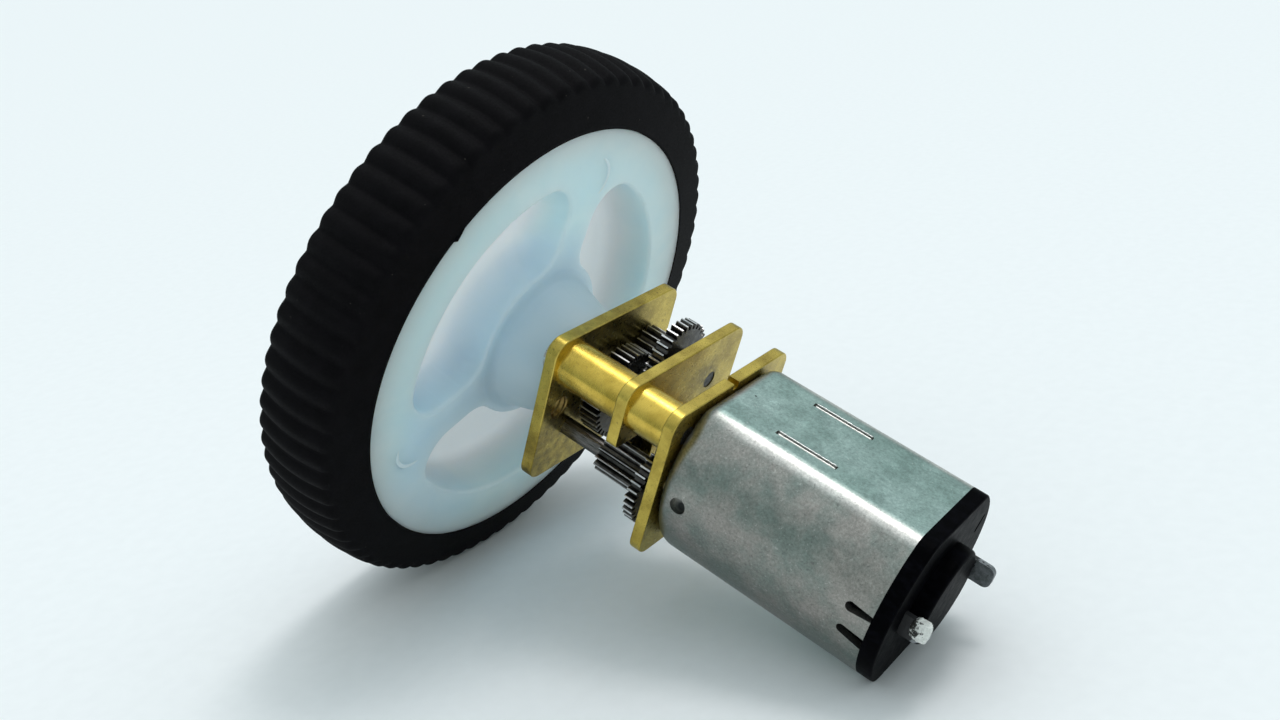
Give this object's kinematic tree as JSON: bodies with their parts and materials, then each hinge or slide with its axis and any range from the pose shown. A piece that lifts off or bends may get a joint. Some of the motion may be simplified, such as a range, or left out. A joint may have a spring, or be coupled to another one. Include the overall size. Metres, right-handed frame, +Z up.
{
  "type": "gearmotor with wheel",
  "caption": "Micro brushed motor with an open brass spur gearbox and a spoked press-on wheel with a ribbed rubber tyre.",
  "frame": {"origin": "on the floor, midway along and across the part, as it stands on the tyre and the lower edge of the motor end cap", "axes": "+Z up, +Y from the wheel towards the motor, X across the gearbox; the shaft slopes up towards the wheel by 23 degrees"},
  "size_m": [0.0356, 0.0405, 0.034],
  "materials": {
    "plate_brass": "stamped and dull",
    "turned_brass": "turned and shiny",
    "pinion_brass": "cut teeth, shiny",
    "contact_brass": "thin sprung sheet",
    "bright_steel": "bright, turned",
    "gear_steel": "dark, oiled, bright tooth tips",
    "core_steel": "stacked sheet",
    "plated_can": "mottled plating, satin",
    "magnet_ferrite": "matt",
    "coil_copper": "enamelled copper",
    "black_plastic": "moulded, slightly satin",
    "terminal_metal": "dull tinned",
    "white_lump": "lumpy and matt",
    "white_plastic": "smooth moulded, a little translucent",
    "tyre_rubber": "matt black"
  },
  "bodies": {
    "frame": {"front_plate": "plate_brass", "mid_plate": "plate_brass", "rear_plate": "plate_brass", "front_columns": "turned_brass", "rear_columns": "turned_brass", "gearbox_screws": "bright_steel", "first_arbor": "bright_steel", "second_arbor": "bright_steel", "output_bush": "turned_brass", "motor_can": "plated_can", "motor_screws": "bright_steel", "front_bearing": "turned_brass", "magnets": "magnet_ferrite", "end_cap": "black_plastic", "rear_bearing": "turned_brass", "brushes": "contact_brass", "left_terminal": "terminal_metal", "right_terminal": "terminal_metal", "solder_lump": "white_lump"},
    "rotor": {"motor_shaft": "bright_steel", "rotor_core": "core_steel", "windings": "coil_copper", "commutator": "coil_copper", "motor_pinion": "pinion_brass"},
    "first_pair": {"first_gear": "gear_steel", "first_pinion": "gear_steel"},
    "second_pair": {"second_gear": "gear_steel", "second_pinion": "gear_steel"},
    "third_pair": {"third_gear": "gear_steel", "third_pinion": "gear_steel"},
    "wheel": {"output_shaft": "bright_steel", "output_gear": "gear_steel", "thrust_washer": "bright_steel", "wheel_hub": "white_plastic", "tyre": "tyre_rubber"}
  },
  "joints": [
    {"name": "wheel_spin", "type": "hinge", "parent": "frame", "child": "wheel", "pos_m": [0, -0.00347, 0.01378], "axis": [0, -0.9204, 0.3909], "continuous": true},
    {"name": "third_pair_spin", "type": "hinge", "parent": "frame", "child": "third_pair", "pos_m": [-0.00321, -0.00032, 0.01454], "axis": [0, -0.9204, 0.3909], "continuous": true},
    {"name": "second_pair_spin", "type": "hinge", "parent": "frame", "child": "second_pair", "pos_m": [0, 0.0004, 0.01214], "axis": [0, -0.9204, 0.3909], "continuous": true},
    {"name": "first_pair_spin", "type": "hinge", "parent": "frame", "child": "first_pair", "pos_m": [0.00321, 0.00093, 0.00981], "axis": [0, -0.9204, 0.3909], "continuous": true},
    {"name": "rotor_spin", "type": "hinge", "parent": "frame", "child": "rotor", "pos_m": [0, 0.00997, 0.00807], "axis": [0, -0.9204, 0.3909], "continuous": true}
  ],
  "couplings": [
    {"joint": "third_pair_spin", "follows": "wheel_spin", "ratio": -3},
    {"joint": "second_pair_spin", "follows": "wheel_spin", "ratio": 6},
    {"joint": "first_pair_spin", "follows": "wheel_spin", "ratio": -16.154},
    {"joint": "rotor_spin", "follows": "wheel_spin", "ratio": 29.457}
  ]
}
